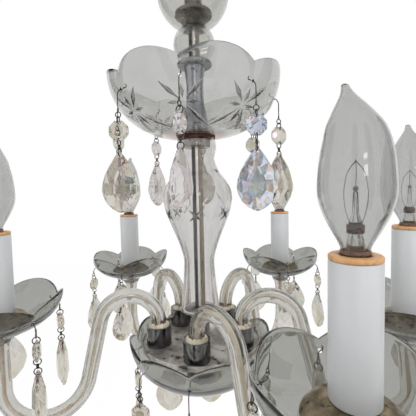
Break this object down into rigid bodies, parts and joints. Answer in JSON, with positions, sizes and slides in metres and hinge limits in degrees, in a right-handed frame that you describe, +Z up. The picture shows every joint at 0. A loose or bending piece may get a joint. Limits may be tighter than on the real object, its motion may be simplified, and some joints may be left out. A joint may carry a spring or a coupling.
{
  "type": "glass chandelier",
  "caption": "Hanging glass chandelier: a turned glass column with petal bowls, bent glass arms with candle lamps and bobeches, and faceted prism strings.",
  "frame": {"origin": "centre of the hanging loop's bore", "axes": "+Z up along the column, +Y along the loop's bore, the front arm's cup towards -Y"},
  "size_m": [0.4658, 0.4017, 0.5183],
  "materials": {
    "clear_glass": "clear, slightly smoky",
    "crystal": "faceted, iridescent",
    "bulb_glass": "clear, thin",
    "chrome": "polished",
    "nickel": "dull",
    "tarnished_metal": "mottled, tarnished",
    "copper_washer": "tarnished copper",
    "lampholder": "aged",
    "candle_sleeve": "satin white"
  },
  "bodies": {
    "column": {"hanging_loop": "chrome", "upper_ball": "clear_glass", "ball_spool": "tarnished_metal", "spacer_ball": "clear_glass", "bowl_spool": "chrome", "upper_bowl": "clear_glass", "bowl_washer": "copper_washer", "rod_nuts": "nickel", "baluster": "clear_glass", "central_rod": "nickel", "hub_plate": "tarnished_metal", "hub_cups": "chrome", "lower_bowl": "clear_glass", "bottom_finial": "chrome"},
    "arm_1": {"arm_1": "clear_glass", "arm_1_bobeche": "clear_glass", "arm_1_lampholder": "lampholder", "arm_1_sleeve": "candle_sleeve", "arm_1_strings": "crystal"},
    "bulb_1": {"arm_1_bulb": "bulb_glass"},
    "arm_2": {"arm_2": "clear_glass", "arm_2_bobeche": "clear_glass", "arm_2_lampholder": "lampholder", "arm_2_sleeve": "candle_sleeve", "arm_2_strings": "crystal"},
    "bulb_2": {"arm_2_bulb": "bulb_glass"},
    "arm_3": {"arm_3": "clear_glass", "arm_3_bobeche": "clear_glass", "arm_3_lampholder": "lampholder", "arm_3_sleeve": "candle_sleeve", "arm_3_strings": "crystal"},
    "bulb_3": {"arm_3_bulb": "bulb_glass"},
    "arm_4": {"arm_4": "clear_glass", "arm_4_bobeche": "clear_glass", "arm_4_lampholder": "lampholder", "arm_4_sleeve": "candle_sleeve", "arm_4_strings": "crystal"},
    "bulb_4": {"arm_4_bulb": "bulb_glass"},
    "arm_5": {"arm_5": "clear_glass", "arm_5_bobeche": "clear_glass", "arm_5_lampholder": "lampholder", "arm_5_sleeve": "candle_sleeve", "arm_5_strings": "crystal"},
    "bulb_5": {"arm_5_bulb": "bulb_glass"},
    "upper_string_1": {"upper_string_1": "crystal"},
    "upper_string_2": {"upper_string_2": "crystal"},
    "upper_string_3": {"upper_string_3": "crystal"},
    "upper_string_4": {"upper_string_4": "crystal"},
    "upper_string_5": {"upper_string_5": "crystal"},
    "upper_string_6": {"upper_string_6": "crystal"},
    "upper_string_7": {"upper_string_7": "crystal"},
    "upper_string_8": {"upper_string_8": "crystal"},
    "lower_string_1": {"lower_string_1": "crystal"},
    "lower_string_2": {"lower_string_2": "crystal"},
    "lower_string_3": {"lower_string_3": "crystal"},
    "lower_string_4": {"lower_string_4": "crystal"},
    "lower_string_5": {"lower_string_5": "crystal"},
    "lower_string_6": {"lower_string_6": "crystal"},
    "lower_string_7": {"lower_string_7": "crystal"},
    "lower_string_8": {"lower_string_8": "crystal"}
  },
  "joints": [
    {"name": "arm_1_swivel", "type": "hinge", "parent": "column", "child": "arm_1", "pos_m": [0, -0.0411, -0.37169], "axis": [0, 0, 1], "range_deg": [-40, 2]},
    {"name": "bulb_1_turn", "type": "hinge", "parent": "arm_1", "child": "bulb_1", "pos_m": [0.08969, -0.14798, -0.27682], "axis": [0, 0, 1], "range_deg": [0, 720]},
    {"name": "arm_2_swivel", "type": "hinge", "parent": "column", "child": "arm_2", "pos_m": [0.03909, -0.0127, -0.37169], "axis": [0, 0, 1], "range_deg": [-6, 6]},
    {"name": "bulb_2_turn", "type": "hinge", "parent": "arm_2", "child": "bulb_2", "pos_m": [0.1765, -0.03693, -0.27682], "axis": [0, 0, 1], "range_deg": [0, 720]},
    {"name": "arm_3_swivel", "type": "hinge", "parent": "column", "child": "arm_3", "pos_m": [0.02416, 0.03325, -0.37169], "axis": [0, 0, 1], "range_deg": [-6, 6]},
    {"name": "bulb_3_turn", "type": "hinge", "parent": "arm_3", "child": "bulb_3", "pos_m": [0.10218, 0.14892, -0.27682], "axis": [0, 0, 1], "range_deg": [0, 720]},
    {"name": "arm_4_swivel", "type": "hinge", "parent": "column", "child": "arm_4", "pos_m": [-0.02416, 0.03325, -0.37169], "axis": [0, 0, 1], "range_deg": [-6, 1]},
    {"name": "bulb_4_turn", "type": "hinge", "parent": "arm_4", "child": "bulb_4", "pos_m": [-0.11384, 0.14013, -0.27682], "axis": [0, 0, 1], "range_deg": [0, 720]},
    {"name": "arm_5_swivel", "type": "hinge", "parent": "column", "child": "arm_5", "pos_m": [-0.03909, -0.0127, -0.37169], "axis": [0, 0, 1], "range_deg": [-6, 6]},
    {"name": "bulb_5_turn", "type": "hinge", "parent": "arm_5", "child": "bulb_5", "pos_m": [-0.17557, -0.04171, -0.27682], "axis": [0, 0, 1], "range_deg": [0, 720]},
    {"name": "upper_string_1_swing", "type": "hinge", "parent": "column", "child": "upper_string_1", "pos_m": [-0.00379, -0.07231, -0.16079], "axis": [-0.9986, 0.0523, 0], "range_deg": [-12, 20]},
    {"name": "upper_string_2_swing", "type": "hinge", "parent": "column", "child": "upper_string_2", "pos_m": [0.04845, -0.05381, -0.16079], "axis": [-0.7431, -0.6691, 0], "range_deg": [-12, 20]},
    {"name": "upper_string_3_swing", "type": "hinge", "parent": "column", "child": "upper_string_3", "pos_m": [0.07231, -0.00379, -0.16079], "axis": [-0.0523, -0.9986, 0], "range_deg": [-12, 20]},
    {"name": "upper_string_4_swing", "type": "hinge", "parent": "column", "child": "upper_string_4", "pos_m": [0.05381, 0.04845, -0.16079], "axis": [0.6691, -0.7431, 0], "range_deg": [-12, 20]},
    {"name": "upper_string_5_swing", "type": "hinge", "parent": "column", "child": "upper_string_5", "pos_m": [0.00379, 0.07231, -0.16079], "axis": [0.9986, -0.0523, 0], "range_deg": [-12, 20]},
    {"name": "upper_string_6_swing", "type": "hinge", "parent": "column", "child": "upper_string_6", "pos_m": [-0.04845, 0.05381, -0.16079], "axis": [0.7431, 0.6691, 0], "range_deg": [-12, 20]},
    {"name": "upper_string_7_swing", "type": "hinge", "parent": "column", "child": "upper_string_7", "pos_m": [-0.07231, 0.00379, -0.16079], "axis": [0.0523, 0.9986, 0], "range_deg": [-12, 20]},
    {"name": "upper_string_8_swing", "type": "hinge", "parent": "column", "child": "upper_string_8", "pos_m": [-0.05381, -0.04845, -0.16079], "axis": [-0.6691, 0.7431, 0], "range_deg": [-12, 20]},
    {"name": "lower_string_1_swing", "type": "hinge", "parent": "column", "child": "lower_string_1", "pos_m": [-0.0043, -0.06152, -0.40239], "axis": [-0.9976, 0.0698, 0], "range_deg": [-12, 20]},
    {"name": "lower_string_2_swing", "type": "hinge", "parent": "column", "child": "lower_string_2", "pos_m": [0.04046, -0.04654, -0.40239], "axis": [-0.7547, -0.6561, 0], "range_deg": [-12, 20]},
    {"name": "lower_string_3_swing", "type": "hinge", "parent": "column", "child": "lower_string_3", "pos_m": [0.06152, -0.0043, -0.40239], "axis": [-0.0698, -0.9976, 0], "range_deg": [-12, 20]},
    {"name": "lower_string_4_swing", "type": "hinge", "parent": "column", "child": "lower_string_4", "pos_m": [0.04654, 0.04046, -0.40239], "axis": [0.6561, -0.7547, 0], "range_deg": [-12, 20]},
    {"name": "lower_string_5_swing", "type": "hinge", "parent": "column", "child": "lower_string_5", "pos_m": [0.0043, 0.06152, -0.40239], "axis": [0.9976, -0.0698, 0], "range_deg": [-12, 20]},
    {"name": "lower_string_6_swing", "type": "hinge", "parent": "column", "child": "lower_string_6", "pos_m": [-0.04046, 0.04654, -0.40239], "axis": [0.7547, 0.6561, 0], "range_deg": [-12, 20]},
    {"name": "lower_string_7_swing", "type": "hinge", "parent": "column", "child": "lower_string_7", "pos_m": [-0.06152, 0.0043, -0.40239], "axis": [0.0698, 0.9976, 0], "range_deg": [-12, 20]},
    {"name": "lower_string_8_swing", "type": "hinge", "parent": "column", "child": "lower_string_8", "pos_m": [-0.04654, -0.04046, -0.40239], "axis": [-0.6561, 0.7547, 0], "range_deg": [-12, 20]}
  ]
}
